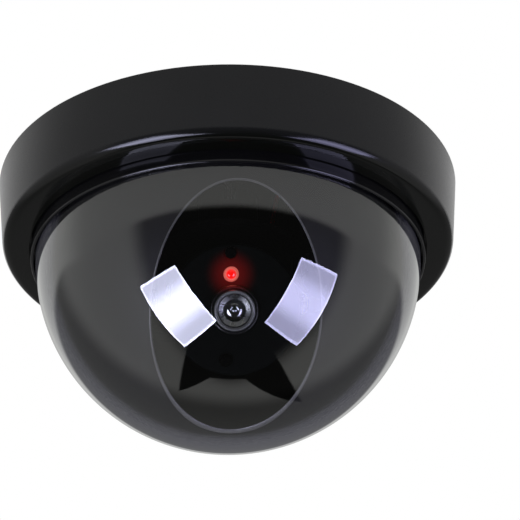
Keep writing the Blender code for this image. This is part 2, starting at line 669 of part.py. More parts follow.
def head_outline(radius, wall, front):
    """A round rear that widens straight to the front."""
    straight_start = (radius * math.cos(math.radians(-18.0)), -radius * math.sin(math.radians(-18.0)))
    slope = (HEAD_FRONT_RADIUS - HEAD_REAR_RADIUS) / (HEAD_FRONT - 3.0)
    front_radius = HEAD_FRONT_RADIUS - wall + slope * (front - HEAD_FRONT)
    rear = arc((0.0, 0.0), radius, -90.0, 0.0, 7)
    return [*rear, straight_start, (front_radius, front), (0.0, front)]


def head_shell(parent):
    shell = turned(head_outline(HEAD_REAR_RADIUS, 0.0, HEAD_FRONT), ROUND_LENS)
    hollow = turned(head_outline(HEAD_REAR_RADIUS - HEAD_WALL, HEAD_WALL, HEAD_FRONT + 1.0), ROUND_LENS)
    for side in (-1, 1):
        x = sorted((side * BOSS_INNER, side * BOSS_FACE))
        joined(shell, along_x(rod(BOSS_RADIUS, *x, ROUND_SMALL)))
        cut(hollow, along_x(rod(BOSS_RADIUS, *x, ROUND_SMALL)))
    for x, y in FACE_SCREWS.values():
        cut(hollow, rod(FACE_BOSS_RADIUS, 8.0, HEAD_FRONT + 2.0, ROUND_TINY, (x, y)))
    cut(shell, hollow)
    for side in (-1, 1):
        cut(shell, along_x(rod(TILT_HOLE, *sorted((side * (BOSS_INNER - 1.0), side * (BOSS_FACE + 1.0))),
                               ROUND_SMALL)))
    for x, y in FACE_SCREWS.values():
        cut(shell, rod(1.1, HEAD_FRONT - 5.0, HEAD_FRONT + 1.0, ROUND_TINY, (x, y)))
    fan = [(0.0, 0.0), *arc((0.0, 0.0), 12.0, -100.0, 4.0, 6)]
    cut(shell, moved(prism(fan, -2.6, 2.6), YZ_TO_SIDE))
    return piece("head_shell", shell, "inner_black", parent)


def face_plate(parent):
    plate = turned([(0.0, FACE_BACK), (HEAD_FRONT_RADIUS, FACE_BACK), (HEAD_FRONT_RADIUS, FACE_FRONT - 0.5),
                    (HEAD_FRONT_RADIUS - 0.5, FACE_FRONT), (0.0, FACE_FRONT)], ROUND_DOME)
    ear_front = BOARD_FRONT + GAP + 1.5
    for side in (-1, 1):
        joined(plate, rod(1.7, ear_front + GAP, FACE_BACK + 0.5, ROUND_TINY, (side * POST_X, 0.0)))
        cut(plate, rod(1.0, ear_front, FACE_BACK - 0.2, ROUND_TINY, (side * POST_X, 0.0)))
    cut(plate, rod(HOLDER_RADIUS + GAP, FACE_BACK - 5.0, FACE_FRONT + 1.0, ROUND_LENS),
        rod(LED_RADIUS + 0.15, FACE_BACK - 1.0, FACE_FRONT + 1.0, ROUND_SMALL, LED_AT))
    for at in FACE_SCREWS.values():
        cut(plate, rod(1.9, FACE_FRONT - 0.7, FACE_FRONT + 1.0, ROUND_TINY, at),
            rod(1.1, FACE_BACK - 1.0, FACE_FRONT + 1.0, ROUND_TINY, at))
    return piece("face_plate", plate, "inner_black", parent)


def face_screw(name, at, parent):
    shape = screw(1.55, 0.7, 0.8, 5.0)
    moved(shape, Matrix.Translation((at[0], at[1], FACE_FRONT - 0.7 + GAP)))
    return piece(f"face_screw_{name}", shape, "black_steel", parent)


def lens_holder(parent):
    low = BOARD_FRONT + GAP
    holder = turned([(HOLDER_RADIUS, low), (HOLDER_RADIUS, HOLDER_FRONT - 0.3),
                     (HOLDER_RADIUS - 0.3, HOLDER_FRONT), (BARREL_RADIUS + GAP, HOLDER_FRONT),
                     (BARREL_RADIUS + GAP, low)], ROUND_LENS)
    for side in (-1, 1):
        ear = block(sorted((side * (HOLDER_RADIUS - 0.25), side * (POST_X + 1.9))), (-2.0, 2.0),
                    (low + 0.05, low + 1.5))
        cut(ear, rod(1.1, low - 1.0, low + 2.0, ROUND_TINY, (side * POST_X, 0.0)))
        joined(holder, ear)
    return piece("lens_holder", holder, "lens_black", parent)


def lens_barrel(parent):
    low = BOARD_FRONT + GAP + 0.9
    seat, pocket, bore = 27.2, 4.3, 3.0
    barrel = turned([(BARREL_RADIUS, low), (BARREL_RADIUS, BARREL_FRONT - 0.8),
                     (BARREL_RIM_RADIUS, BARREL_FRONT), (pocket + 0.2, BARREL_FRONT),
                     (pocket, BARREL_FRONT - 0.3), (pocket, seat), (bore, seat), (bore, low)], ROUND_LENS)
    return piece("lens_barrel", barrel, "lens_black", parent)


def lens_retainer(parent):
    ring = turned([(4.0, 28.7), (4.0, 29.3), (3.4, 29.3), (2.9, 28.9), (2.9, 28.7)], ROUND_LENS)
    return piece("lens_retainer", ring, "lens_black", parent)


def lens_glass_front(parent):
    glass = turned([(0.0, 27.5), (4.0, 27.5), (4.0, 28.1), (3.0, 28.35), (1.6, 28.6), (0.0, 28.7)], ROUND_LENS)
    return piece("lens_glass_front", glass, "lens_glass", parent)


def lens_stop(parent):
    stop = turned([(2.7, 24.6), (2.7, 25.2), (1.4, 25.2), (0.9, 24.8), (0.9, 24.6)], ROUND_SMALL)
    return piece("lens_stop", stop, "lens_black", parent)


def lens_glass_rear(parent):
    glass = turned([(0.0, 21.6), (1.4, 21.75), (2.7, 22.2), (2.7, 23.0), (1.4, 23.4), (0.0, 23.5)],
                   ROUND_SMALL)
    return piece("lens_glass_rear", glass, "lens_glass", parent)


def led(parent):
    flange_back = BOARD_FRONT + 1.2
    lamp = turned([(0.0, flange_back), (LED_RADIUS + 0.4, flange_back), (LED_RADIUS + 0.4, flange_back + 1.0),
                   (LED_RADIUS, flange_back + 1.0), *arc((0.0, LED_CENTRE), LED_RADIUS, 0.0, 90.0, 5)],
                  ROUND_SMALL, LED_AT)
    for side in (-1, 1):
        x = LED_AT[0] + side * 1.27
        joined(lamp, block((x - 0.25, x + 0.25), (LED_AT[1] - 0.25, LED_AT[1] + 0.25),
                           (BOARD_FRONT + GAP, flange_back + 0.3)))
    return piece("led", lamp, "led_red", parent)


def flasher_board(parent):
    outline = [(8.0, -6.5), (10.6, -3.4), (10.6, 3.4), (8.0, 8.0), (5.0, 10.9), (-5.0, 10.9), (-8.0, 8.0),
               (-10.6, 3.4), (-10.6, -3.4), (-8.0, -6.5), (-5.0, -9.5), (5.0, -9.5)]
    board = prism(outline, BOARD_BACK, BOARD_FRONT)
    for side in (-1, 1):
        cut(board, rod(1.1, BOARD_BACK - 1.0, BOARD_FRONT + 1.0, ROUND_TINY, (side * POST_X, 0.0)))
    return piece("flasher_board", board, "board_green", parent)


def board_parts(parent):
    back = BOARD_BACK - GAP
    chip = block((2.6, 7.4), (3.0, 7.0), (back - 1.5, back))
    piece("flasher_chip", chip, "chip_black", parent)
    body = along_x(rod(1.0, -2.9, 2.9))
    piece("led_resistor", moved(body, Matrix.Translation((-4.8, 4.6, back - 1.05))), "resistor_tan", parent)
    for side, name in ((-1, "left"), (1, "right")):
        shape = moved(screw(1.6, 0.9, 0.75, 5.0), Matrix.Rotation(math.pi, 4, "X"))
        moved(shape, Matrix.Translation((side * POST_X, 0.0, back)))
        piece(f"board_screw_{name}", shape, "steel", parent)


def tilt_screw(side, name, parent):
    """The screw that the head tilts on: it is tight in the head and turns in the arm."""
    shape = screw(2.8, 1.8, 1.35, 10.0)
    moved(shape, Matrix.Rotation(math.radians(side * 90.0), 4, "Y"))
    moved(shape, Matrix.Translation((side * (ARM_OUTER + GAP), 0.0, 0.0)))
    return piece(f"tilt_screw_{name}", shape, "steel", parent)


def lead_head(parent):
    wire("lead_head", [(0.0, 0.0, z) for z in (1.4, 9.0, BOARD_BACK - GAP)], 1.1, "lead_black", parent)


# ---------------------------------------------------------------- assembly

SIDES = ((-1, "left"), (1, "right"))


def clear_scene():
    for obj in list(bpy.data.objects):
        bpy.data.objects.remove(obj)


def build_base():
    mounting_plate()
    for side, name in SIDES:
        battery_holder(side, name)
        battery(side, name)
        battery_contacts(side, name)
        holder_screw(side, name)
    switch_body()
    switch_slider(axis_empty("switch_line", (-SWITCH_TRAVEL / 2, SWITCH_Y, 0.0)))
    base_leads()
    pan_washer()
    pan_retaining_ring()


def build_cover():
    axis = axis_empty("cover_axis")
    housing_ring(axis)
    dome_bezel(axis)
    dome_window(axis)
    dome_gasket(axis)
    dome_clamp_ring(axis)
    for number, angle in enumerate(SCREW_ANGLES, start=1):
        clamp_screw(number, angle, axis)


def build_pan():
    axis = axis_empty("pan_axis")
    pan_yoke(axis)
    inner_liner(axis)
    for number, angle in enumerate(SCREW_ANGLES, start=1):
        liner_screw(number, angle, axis)
    for side, name in SIDES:
        tilt_washer(side, name, axis)
    lead_neck(axis)


def build_head():
    axis = axis_empty("tilt_axis", (0.0, 0.0, PIVOT_Z), 90.0 + LENS_DOWN_ANGLE)
    head_shell(axis)
    face_plate(axis)
    for name, at in FACE_SCREWS.items():
        face_screw(name, at, axis)
    lens_holder(axis)
    lens_barrel(axis)
    lens_retainer(axis)
    lens_glass_front(axis)
    lens_stop(axis)
    lens_glass_rear(axis)
    led(axis)
    flasher_board(axis)
    board_parts(axis)
    for side, name in SIDES:
        tilt_screw(side, name, axis)
    lead_head(axis)


def main():
    clear_scene()
    build_base()
    build_cover()
    build_pan()
    build_head()


main()
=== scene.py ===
"""Looks of the dome camera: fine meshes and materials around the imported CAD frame, the camera and the light.

Shapes are drawn in millimetres and become metres as each piece is finished. Turned shapes come from closed
outlines of (radius, height) points, and rounded() makes such points from corners with a fillet. Pieces of
the tilting head are drawn in the head's own frame, with +X to the right, +Y up and +Z along the lens axis,
and its origin on the tilt axis.
"""

import json
import math

import bmesh
import bpy
from mathutils import Matrix, Vector


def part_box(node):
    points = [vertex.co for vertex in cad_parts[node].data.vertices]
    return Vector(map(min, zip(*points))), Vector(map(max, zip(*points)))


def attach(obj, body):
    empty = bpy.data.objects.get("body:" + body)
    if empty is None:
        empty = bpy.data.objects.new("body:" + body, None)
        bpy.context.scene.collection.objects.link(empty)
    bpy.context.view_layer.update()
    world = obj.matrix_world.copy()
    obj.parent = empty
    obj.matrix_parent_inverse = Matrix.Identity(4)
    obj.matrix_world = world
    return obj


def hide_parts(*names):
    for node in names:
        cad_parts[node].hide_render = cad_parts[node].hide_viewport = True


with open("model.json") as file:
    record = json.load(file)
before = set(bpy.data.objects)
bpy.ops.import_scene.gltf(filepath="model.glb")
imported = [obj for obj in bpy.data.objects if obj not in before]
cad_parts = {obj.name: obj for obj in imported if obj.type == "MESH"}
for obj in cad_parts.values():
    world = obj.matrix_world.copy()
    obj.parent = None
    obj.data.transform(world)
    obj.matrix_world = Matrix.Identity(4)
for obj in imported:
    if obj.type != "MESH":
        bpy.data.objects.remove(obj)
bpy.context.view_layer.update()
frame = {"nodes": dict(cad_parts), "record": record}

MM = 0.001
GAP = 0.3


def high(node):
    """A CAD node's highest corner, in millimetres."""
    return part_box(node)[1] / MM


def low(node):
    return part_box(node)[0] / MM


# ---------------------------------------------------------------- sizes, in millimetres

RING_RADIUS = high("housing_ring").x
RING_TOP = high("housing_ring").z
RING_BOTTOM = low("housing_ring").z
RING_LOW_RADIUS = RING_RADIUS - 1.7
RING_INNER = RING_RADIUS - 3.5
EDGE_RADIUS = 2.6
LIP_RADIUS = 52.5
LIP_TOP = RING_BOTTOM + 1.9
ROOT = 0.8  # how far lugs and hooks run into the ring's wall
LUG_ANGLES = (30.0, 150.0, 270.0)
LUG_HALF_ANGLE = 7.0
LUG_RADIUS = 56.2
LUG_TOP = -2.8
LUG_BOTTOM = -4.8
HOOK_ANGLES = (60.0, 180.0, 300.0)
HOOK_HALF_ANGLE = 3.0
HOOK_RADIUS = 56.2
HOOK_TOP = -9.7
HOOK_BOTTOM = -11.2
BEZEL_TOP = high("dome_bezel").z
BEZEL_FLANGE = high("dome_bezel").x
COLLAR_BOTTOM = low("dome_bezel").z
COLLAR_RADIUS = LIP_RADIUS - GAP
COLLAR_BORE = 51.4
NOTCH_RADIUS = 56.0
NOTCH_HALF_ANGLE = 8.5
DOME_BOTTOM = low("dome_window").z
DOME_TOP = high("dome_window").z
DOME_FLANGE = high("dome_window").x
DOME_RADIUS = 50.9
DOME_CENTRE = DOME_BOTTOM + DOME_RADIUS
DOME_WALL = 1.5
DOME_FLANGE_THICKNESS = 1.5
DOME_SEAT = -16.6
LINER_RADIUS = high("inner_liner").x
LINER_WALL = 1.2
LINER_TOP = -19.4
LINER_TAB_TOP = high("inner_liner").z
LINER_SCREW_CIRCLE = 44.8
TAB_ANGLES = (90.0, 210.0, 330.0)
TAB_HALF_ANGLE = 5.0
TAB_RADIUS = 42.8
TAB_BOTTOM = -20.1
TAB_ROOT = 0.6
OPENING_HALF_WIDTH = 21.1
OPENING_HALF_HEIGHT = 32.9
OVAL_STEPS = 160
BEAD_RADIUS = 0.28
BEAD_LOW_HEIGHT = 0.20
BEAD_LOW_WIDTH = 0.90
BEAD_LOW_SHIFT = 1.1
BEAD_SIDES = 12

PIVOT_Z = -33.5
LENS_DOWN_ANGLE = 33.0
HEAD_FRONT_RADIUS = high("face_plate").x
HEAD_FRONT = 25.0
FACE_BACK = HEAD_FRONT + GAP
FACE_FRONT = 27.0
SCREW_HOLE = 1.1
SCREW_SINK = 1.9
SCREW_SINK_DEPTH = 0.7
POST_X = 8.4
POST_RADIUS = 1.7
POST_BACK = 21.8
HOLDER_RADIUS = 6.0
HOLDER_BACK = 20.0
HOLDER_FRONT = 28.6
EAR_REACH = 10.3
EAR_BACK = 20.05
EAR_FRONT = 21.5
BARREL_RADIUS = 5.2
BARREL_RIM_RADIUS = 5.0
BARREL_POCKET = 4.3
BARREL_BORE = 3.0
BARREL_BACK = 20.9
BARREL_SEAT = 27.2
BARREL_FRONT = 30.0
GLASS_RADIUS = 4.0
GLASS_BACK = 27.4
GLASS_TOP = 28.62
GLASS_CROWN = 0.5
GLASS_RIPPLE = 0.075
GLASS_RIPPLE_PITCH = 1.3
LED_AT = (-0.95, 8.9)
LED_RADIUS = 2.0
LED_CENTRE = 25.1
LAMP_RADIUS = LED_RADIUS - 0.15
LEAD_X = 1.27
LEAD_HALF = 0.25
BOARD_FRONT = 19.7
FACE_SCREWS = {"upper": (-1.2, 14.3), "lower": (-1.7, -12.5)}

FINE = 160
MEDIUM = 64
SMALL = 32


# ---------------------------------------------------------------- shape helpers


def rounded(corners, steps):
    """A closed outline of (radius, height, fillet) corners as points, with each fillet as an arc."""
    points = []
    for i, (x, y, fillet) in enumerate(corners):
        here = Vector((x, y))
        if fillet <= 0.0:
            points.append(here)
            continue
        before = Vector(corners[i - 1][:2]) - here
        after = Vector(corners[(i + 1) % len(corners)][:2]) - here
        half = before.angle(after) / 2.0
        reach = min(fillet / math.tan(half), before.length * 0.49, after.length * 0.49)
        start, end = here + before.normalized() * reach, here + after.normalized() * reach
        centre = here + (before.normalized() + after.normalized()).normalized() * (reach / math.cos(half))
        from_centre, sweep = start - centre, (start - centre).angle_signed(end - centre)
        for k in range(steps + 1):
            turn = Matrix.Rotation(-sweep * k / steps, 2)
            points.append(centre + turn @ from_centre)
    return [(p.x, p.y) for p in points]


def arc(centre, radius, start, end, steps):
    angles = [math.radians(start + (end - start) * i / steps) for i in range(steps + 1)]
    return [(centre[0] + radius * math.cos(a), centre[1] + radius * math.sin(a)) for a in angles]


def object_of(bm, name="shape"):
    bmesh.ops.recalc_face_normals(bm, faces=bm.faces)
    mesh = bpy.data.meshes.new(name)
    bm.to_mesh(mesh)
    bm.free()
    obj = bpy.data.objects.new(name, mesh)
    bpy.context.scene.collection.objects.link(obj)
    return obj


def moved(obj, matrix):
    obj.data.transform(matrix)
    return obj


def turned(points, segments=FINE, at=(0.0, 0.0)):
    """A solid of revolution about Z from (radius, height) points."""
    bm = bmesh.new()
    verts = [bm.verts.new((max(r, 0.0), 0.0, z)) for r, z in points]
    pairs = list(zip(verts, verts[1:]))
    if not (points[0][0] < 1e-6 and points[-1][0] < 1e-6):
        pairs.append((verts[-1], verts[0]))
    edges = [bm.edges.new(pair) for pair in pairs]
    bmesh.ops.spin(bm, geom=edges, cent=(0, 0, 0), axis=(0, 0, 1), angle=math.tau,
                   steps=segments, use_merge=True, use_duplicate=False)
    bmesh.ops.remove_doubles(bm, verts=bm.verts, dist=1e-4)
    return moved(object_of(bm), Matrix.Translation((at[0], at[1], 0.0)))


def rod(radius, bottom, top, segments, at=(0.0, 0.0)):
    """A cylinder, turned a little so that its corners don't line up with those of a turned shape."""
    bm = bmesh.new()
    bmesh.ops.create_cone(bm, cap_ends=True, segments=segments, radius1=radius, radius2=radius,
                          depth=top - bottom)
    off_axis = Matrix.Rotation(0.7 * math.pi / segments, 4, "Z")
    return moved(object_of(bm), Matrix.Translation((at[0], at[1], (bottom + top) / 2)) @ off_axis)


def prism(outline, bottom, top):
    bm = bmesh.new()
    face = bm.faces.new([bm.verts.new((x, y, bottom)) for x, y in outline])
    raised = bmesh.ops.extrude_face_region(bm, geom=[face])
    lifted = [v for v in raised["geom"] if isinstance(v, bmesh.types.BMVert)]
    bmesh.ops.translate(bm, verts=lifted, vec=(0.0, 0.0, top - bottom))
    return object_of(bm)


def block(x, y, z):
    return prism([(x[0], y[0]), (x[1], y[0]), (x[1], y[1]), (x[0], y[1])], z[0], z[1])


def sector(inner, outer, middle, half_angle, bottom, top):
    """A block between two radii and two angles, in degrees."""
    steps = 8
    angles = [math.radians(middle + half_angle * (2 * i / steps - 1)) for i in range(steps + 1)]
    outside = [(outer * math.cos(a), outer * math.sin(a)) for a in angles]
    inside = [(inner * math.cos(a), inner * math.sin(a)) for a in reversed(angles)]
    return prism(outside + inside, bottom, top)


def boolean(target, tools, operation):
    """Joins or cuts the tools into the target one by one and removes them."""
    for tool in tools:
        modifier = target.modifiers.new(operation.lower(), "BOOLEAN")
        modifier.operation = operation
        modifier.solver = "EXACT"
        modifier.object = tool
        graph = bpy.context.evaluated_depsgraph_get()
        mesh = bpy.data.meshes.new_from_object(target.evaluated_get(graph))
        target.modifiers.remove(modifier)
        target.data = mesh
        bpy.data.objects.remove(tool)


def joined(target, *tools):
    boolean(target, tools, "UNION")


def cut(target, *tools):
    boolean(target, tools, "DIFFERENCE")


def on_circle(radius, angle):
    return radius * math.cos(math.radians(angle)), radius * math.sin(math.radians(angle))


HEAD_FRAME = (Matrix.Translation((0.0, 0.0, PIVOT_Z))
              @ Matrix.Rotation(math.radians(90.0 + LENS_DOWN_ANGLE), 4, "X"))


# ---------------------------------------------------------------- materials


def nodes_of(name):
    """A new material, its node tree and its Principled shader."""
    made = bpy.data.materials.new(name)
    made.use_nodes = True
    return made, made.node_tree, made.node_tree.nodes["Principled BSDF"]


def object_coordinates(tree):
    return tree.nodes.new("ShaderNodeTexCoord").outputs["Object"]


def noise(tree, scale, detail=3.0):
    made = tree.nodes.new("ShaderNodeTexNoise")
    made.inputs["Scale"].default_value = scale
    made.inputs["Detail"].default_value = detail
    tree.links.new(object_coordinates(tree), made.inputs["Vector"])
    return made.outputs["Fac"]


def ranged(tree, value, from_low, from_high, to_low, to_high, smooth=False):
    made = tree.nodes.new("ShaderNodeMapRange")
    made.interpolation_type = "SMOOTHSTEP" if smooth else "LINEAR"
    for socket, number in zip(("From Min", "From Max", "To Min", "To Max"),
                              (from_low, from_high, to_low, to_high)):
        made.inputs[socket].default_value = number
    tree.links.new(value, made.inputs["Value"])
    return made.outputs["Result"]


def maths(tree, operation, *values):
    """One math node on sockets or plain numbers, as its output socket."""
    made = tree.nodes.new("ShaderNodeMath")
    made.operation = operation
    for socket, value in zip(made.inputs, values):
        if isinstance(value, (int, float)):
            socket.default_value = value
        else:
            tree.links.new(value, socket)
    return made.outputs["Value"]


def bump(tree, painted_shade_fade, strength, distance):
    made = tree.nodes.new("ShaderNodeBump")
    made.inputs["Strength"].default_value = strength
    made.inputs["Distance"].default_value = distance
    tree.links.new(painted_shade_fade, made.inputs["Height"])
    return made.outputs["Normal"]


def tinted(tree, fac, low_colour, high_colour):
    """A colour between two tones, each a plain colour or another node's output socket."""
    made = tree.nodes.new("ShaderNodeMix")
    made.data_type = "RGBA"
    for socket, tone in ((made.inputs[6], low_colour), (made.inputs[7], high_colour)):
        if isinstance(tone, tuple):
            socket.default_value = (*tone, 1.0)
        else:
            tree.links.new(tone, socket)
    tree.links.new(fac, made.inputs[0])
    return made.outputs[2]


def moulded(name, colour, roughness, grain_scale, grain, drift=0.25, specular=0.5):
    """Moulded plastic or rubber: fine surface grain, and gloss and tone that drift a little."""
    made, tree, shader = nodes_of(name)
    shader.inputs["Specular IOR Level"].default_value = specular
    broad = noise(tree, 45.0)
    dark = tuple(c * (1.0 - drift) for c in colour)
    light = tuple(c * (1.0 + drift) for c in colour)
    tree.links.new(tinted(tree, broad, dark, light), shader.inputs["Base Color"])
    fine = noise(tree, grain_scale, 2.0)
    tree.links.new(ranged(tree, fine, 0.3, 0.7, roughness * 0.9, roughness * 1.12),
                   shader.inputs["Roughness"])
    tree.links.new(bump(tree, fine, grain, 0.0001), shader.inputs["Normal"])
    return made


POLISHED = 0.3  # the underside's roughness as a share of the wall's
# the underside's colour, much darker than the wall's tone: painted shade on the side facing down
UNDERSIDE_SHADE_COLOUR = (0.0012, 0.0013, 0.0009)


def housing_plastic(name, colour):
    """The ring's plastic: a satin wall, and a polished underside below the wall's rounded edge, whose colour
    is much darker than the wall's: painted shade.
    """
    made = moulded(name, colour, 0.30, 2600.0, 0.03, specular=0.22)
    tree = made.node_tree
    shader = tree.nodes["Principled BSDF"]
    split = tree.nodes.new("ShaderNodeSeparateXYZ")
    tree.links.new(object_coordinates(tree), split.inputs["Vector"])
    polish = ranged(tree, split.outputs["Z"], (RING_BOTTOM + 0.2) * MM, (RING_BOTTOM + EDGE_RADIUS) * MM,
                    POLISHED, 1.0, smooth=True)
    satin = shader.inputs["Roughness"].links[0].from_socket
    tree.links.new(maths(tree, "MULTIPLY", satin, polish), shader.inputs["Roughness"])
    tone = shader.inputs["Base Color"].links[0].from_socket
    # painted shade: the colour turns from the wall's tone to the much darker underside colour across the
    # rounded edge
    painted_shade_fade = ranged(tree, polish, POLISHED, 1.0, 0.0, 1.0)
    tree.links.new(tinted(tree, painted_shade_fade, UNDERSIDE_SHADE_COLOUR, tone), shader.inputs["Base Color"])
    return made


def metal(name, colour, roughness):
    made, tree, shader = nodes_of(name)
    shader.inputs["Metallic"].default_value = 1.0
    fine = noise(tree, 900.0, 4.0)
    tree.links.new(tinted(tree, fine, tuple(c * 0.8 for c in colour), colour), shader.inputs["Base Color"])
    tree.links.new(ranged(tree, fine, 0.3, 0.7, roughness * 0.8, roughness * 1.4), shader.inputs["Roughness"])
    tree.links.new(bump(tree, fine, 0.15, 0.00005), shader.inputs["Normal"])
    return made


def clear_sheet(name, tint, ior, filled_rim=0.0, gloss_limit=1.0):
    """Clear plastic that mirrors as both its faces do and lets light through straight.

    With filled_rim, the sheet turns to that grey where it is seen edge on, because refraction in a thick
    round shell fills its outline with what lies inside it.
    """
    made, tree, shader = nodes_of(name)
    tree.nodes.remove(shader)
    through = tree.nodes.new("ShaderNodeBsdfTransparent")
    drift = noise(tree, 60.0)
    tree.links.new(tinted(tree, drift, tuple(c * 0.985 for c in tint), tuple(c * 1.015 for c in tint)),
                   through.inputs["Color"])
    mirror = tree.nodes.new("ShaderNodeBsdfGlossy")
    mirror.inputs["Color"].default_value = (0.98, 0.99, 0.96, 1.0)
    tree.links.new(ranged(tree, drift, 0.3, 0.7, 0.004, 0.012), mirror.inputs["Roughness"])
    tree.links.new(bump(tree, drift, 0.05, 0.00002), mirror.inputs["Normal"])
    fresnel = tree.nodes.new("ShaderNodeFresnel")
    fresnel.inputs["IOR"].default_value = ior
    geometry = tree.nodes.new("ShaderNodeNewGeometry")
    front = maths(tree, "SUBTRACT", 1.0, geometry.outputs["Backfacing"])
    gloss = maths(tree, "MINIMUM", fresnel.outputs["Fac"], gloss_limit)
    mix = tree.nodes.new("ShaderNodeMixShader")
    tree.links.new(maths(tree, "MULTIPLY", gloss, front), mix.inputs["Fac"])
    beneath = through.outputs["BSDF"]
    if filled_rim:
        filling = tree.nodes.new("ShaderNodeBsdfDiffuse")
        filling.inputs["Color"].default_value = (filled_rim, filled_rim, filled_rim, 1.0)
        weight = tree.nodes.new("ShaderNodeLayerWeight")
        weight.inputs["Blend"].default_value = 0.5
        edge = tree.nodes.new("ShaderNodeMixShader")
        tree.links.new(ranged(tree, weight.outputs["Facing"], 0.60, 0.70, 0.0, 1.0, smooth=True),
                       edge.inputs["Fac"])
        tree.links.new(through.outputs["BSDF"], edge.inputs[1])
        tree.links.new(filling.outputs["BSDF"], edge.inputs[2])
        beneath = edge.outputs["Shader"]
    tree.links.new(beneath, mix.inputs[1])
    tree.links.new(mirror.outputs["BSDF"], mix.inputs[2])
    tree.links.new(mix.outputs["Shader"], tree.nodes["Material Output"].inputs["Surface"])
    return made


def distance_from(tree, point):
    """Distance in metres from a point of the head's frame, given in millimetres."""
    centre = (HEAD_FRAME @ Vector(point)) * MM
    away = tree.nodes.new("ShaderNodeVectorMath")
    away.operation = "DISTANCE"
    away.inputs[1].default_value = centre
    tree.links.new(object_coordinates(tree), away.inputs[0])
    return away.outputs["Value"]


def lit_led(name):
    """Red epoxy lit from inside: a saturated middle and a paler rim, by distance from the lamp's tip."""
    made, tree, shader = nodes_of(name)
    grain = noise(tree, 900.0)
    tree.links.new(ranged(tree, grain, 0.3, 0.7, 0.06, 0.10), shader.inputs["Roughness"])
    tree.links.new(bump(tree, grain, 0.02, 0.00005), shader.inputs["Normal"])
    away = distance_from(tree, (*LED_AT, LED_CENTRE + LED_RADIUS))
    ring = ranged(tree, away, 0.0010, 0.0018, 0.0, 1.0, smooth=True)
    tree.links.new(tinted(tree, ring, (0.40, 0.002, 0.001), (0.60, 0.10, 0.08)), shader.inputs["Base Color"])
    tree.links.new(tinted(tree, ring, (0.95, 0.004, 0.003), (0.62, 0.13, 0.10)),
                   shader.inputs["Emission Color"])
    shader.inputs["Emission Strength"].default_value = 1.0
    return made


def red_glow(made, strength):
    """Adds the lamp's red light on the surface around it, fading with distance."""
    tree = made.node_tree
    shader = tree.nodes["Principled BSDF"]
    away = distance_from(tree, (*LED_AT, FACE_FRONT))
    near = ranged(tree, away, 0.0018, 0.0075, 1.0, 0.0, smooth=True)
    fading = maths(tree, "POWER", near, 1.6)
    tree.links.new(tinted(tree, fading, (0.0, 0.0, 0.0), (1.0, 0.02, 0.015)), shader.inputs["Emission Color"])
    shader.inputs["Emission Strength"].default_value = strength
    return made


MATERIALS = {
    "housing_black": housing_plastic("housing_black", (0.0052, 0.0053, 0.0047)),
    "gloss_black": moulded("gloss_black", (0.002, 0.002, 0.002), 0.08, 700.0, 0.01, specular=0.35),
    "clear_dome": clear_sheet("clear_dome", (0.90, 0.90, 0.90), 1.75, filled_rim=0.035, gloss_limit=0.45),
    "liner_grey": moulded("liner_grey", (0.008, 0.008, 0.0075), 0.55, 1500.0, 0.10, specular=0.15),
    "inner_black": moulded("inner_black", (0.0015, 0.0015, 0.0016), 0.60, 1800.0, 0.10, specular=0.12),
    "gasket_rubber": moulded("gasket_rubber", (0.010, 0.010, 0.010), 0.80, 1500.0, 0.2),
    "steel": metal("steel", (0.56, 0.56, 0.57), 0.28),
    "black_steel": metal("black_steel", (0.0012, 0.0012, 0.0012), 0.35),
    "nickel": metal("nickel", (0.66, 0.63, 0.56), 0.22),
    "nylon": moulded("nylon", (0.70, 0.69, 0.64), 0.45, 1200.0, 0.1),
    "lens_black": moulded("lens_black", (0.060, 0.062, 0.060), 0.20, 2500.0, 0.04, specular=1.0),
    "lens_glass": clear_sheet("lens_glass", (0.80, 0.82, 0.84), 2.6),
    "led_red": lit_led("led_red"),
    "board_green": moulded("board_green", (0.010, 0.10, 0.035), 0.38, 600.0, 0.05),
    "chip_black": moulded("chip_black", (0.012, 0.012, 0.012), 0.55, 2500.0, 0.3),
    "resistor_tan": moulded("resistor_tan", (0.50, 0.36, 0.20), 0.40, 900.0, 0.1),
    "cell_sleeve": moulded("cell_sleeve", (0.045, 0.05, 0.06), 0.30, 400.0, 0.04),
    "lead_red": moulded("lead_red", (0.42, 0.008, 0.008), 0.42, 900.0, 0.05),
    "lead_black": moulded("lead_black", (0.010, 0.010, 0.010), 0.42, 900.0, 0.05),
    "switch_white": moulded("switch_white", (0.75, 0.75, 0.72), 0.40, 900.0, 0.05),
}


# ---------------------------------------------------------------- finished pieces


def piece(name, shape, slot, body, node=None, material=None, in_head=False, sharp=40.0):
    """Names a shape, puts it in metres on its body, and hides the CAD node it stands for."""
    if in_head:
        moved(shape, HEAD_FRAME)
    shape.data.transform(Matrix.Scale(MM, 4))
    shape.name = name
    shape.data.name = name
    shape.data.materials.clear()
    shape.data.materials.append(material or MATERIALS[slot])
    shape.data.shade_smooth()
    shape.data.set_sharp_from_angle(angle=math.radians(sharp))
    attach(shape, body)
    if node:
        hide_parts(node)


def housing_ring():
    ring = turned(rounded([(RING_INNER, RING_TOP, 0.3), (RING_RADIUS, RING_TOP, 0.4),
                           (RING_LOW_RADIUS, RING_BOTTOM, EDGE_RADIUS), (LIP_RADIUS, RING_BOTTOM, 0.2),
                           (LIP_RADIUS, LIP_TOP, 0.0), (RING_INNER, LIP_TOP, 0.3)], 8))
    for angle in LUG_ANGLES:
        joined(ring, sector(LUG_RADIUS, RING_INNER + ROOT, angle, LUG_HALF_ANGLE, LUG_BOTTOM, LUG_TOP))
    for angle in HOOK_ANGLES:
        joined(ring, sector(HOOK_RADIUS, RING_INNER + ROOT, angle, HOOK_HALF_ANGLE, HOOK_BOTTOM, HOOK_TOP))
    piece("housing_ring_fine", ring, "housing_black", "cover", "housing_ring")


